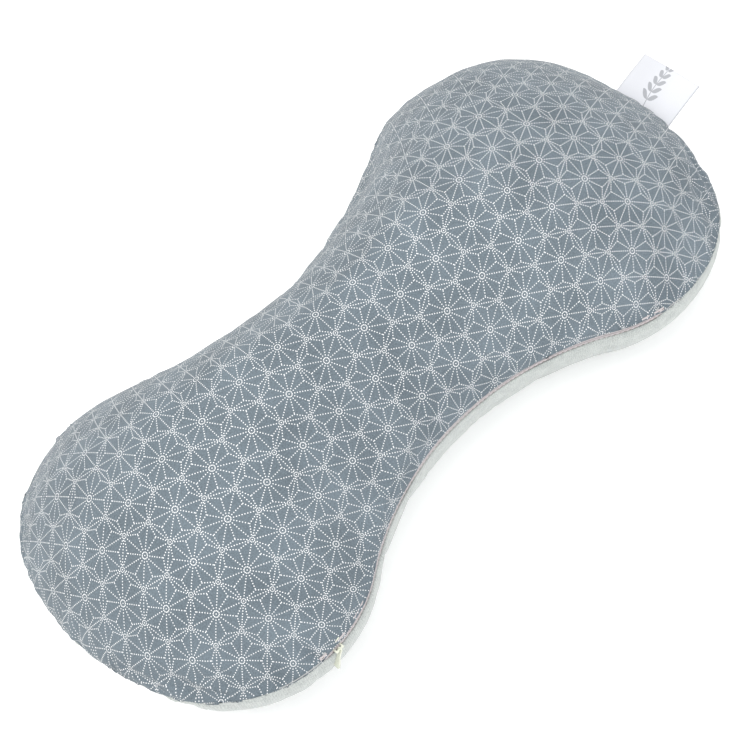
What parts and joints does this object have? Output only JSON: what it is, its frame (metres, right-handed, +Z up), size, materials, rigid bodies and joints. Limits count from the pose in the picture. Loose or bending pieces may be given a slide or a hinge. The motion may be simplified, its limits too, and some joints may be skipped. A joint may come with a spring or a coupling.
{
  "type": "nursing pillow",
  "caption": "Two-lobed nursing pillow: domed printed cover with a knitted underside, a zip along the hollow front, a folded side label and a stuffed inner cushion.",
  "frame": {"origin": "on the flat underside, below the middle of the waist, halfway between the two tips", "axes": "+X along the pillow towards the larger lobe, -Y out of the hollow front side with the zip, +Z up from the underside"},
  "size_m": [0.6804, 0.3425, 0.1511],
  "materials": {
    "printed_cotton": "matte woven cotton, slate blue-grey with white dotted stars",
    "marl_jersey": "soft brushed knit, light grey marl",
    "sewing_thread": "spun polyester thread",
    "zip_tape": "woven polyester tape",
    "zip_coil": "nylon coil",
    "zip_metal": "cream enamel over zinc, worn at the edges",
    "stop_metal": "stamped metal",
    "satin_label": "white woven satin with a grey printed sprig",
    "casing_cloth": "plain white cotton",
    "fibre_fill": "soft fibre filling"
  },
  "bodies": {
    "pillow": {"cover_top_panel": "printed_cotton", "cover_bottom_panel": "marl_jersey", "cover_seam_thread": "sewing_thread", "zip_tape_upper": "zip_tape", "zip_tape_lower": "zip_tape", "zip_coil_upper": "zip_coil", "zip_coil_lower": "zip_coil", "zip_stop_upper": "stop_metal", "zip_stop_lower": "stop_metal", "zip_stop_far": "stop_metal", "zip_tack_near": "sewing_thread", "zip_tack_far": "sewing_thread", "care_label": "satin_label", "inner_casing_top": "casing_cloth", "inner_casing_bottom": "casing_cloth", "inner_casing_seam": "sewing_thread", "filling_upper": "fibre_fill", "filling_lower": "fibre_fill"},
    "slider": {"zip_slider_body": "zip_metal"},
    "pull": {"zip_pull_tab": "zip_metal"},
    "label": {"side_label": "satin_label"}
  },
  "joints": [
    {"name": "zip_run", "type": "hinge", "parent": "pillow", "child": "slider", "pos_m": [-0.19834, -0.06318, 0.058], "axis": [0, 0, 1], "range_deg": [0, 22]},
    {"name": "pull_swing", "type": "hinge", "parent": "slider", "child": "pull", "pos_m": [-0.19293, -0.17365, 0.058], "axis": [-0.9988, -0.0488, 0], "range_deg": [0, 165]},
    {"name": "label_flap", "type": "hinge", "parent": "pillow", "child": "label", "pos_m": [0.31923, -0.01806, 0.058], "axis": [0.1007, 0.9949, 0], "range_deg": [-55, 45], "stiffness_Nm_per_rad": 0.004}
  ]
}
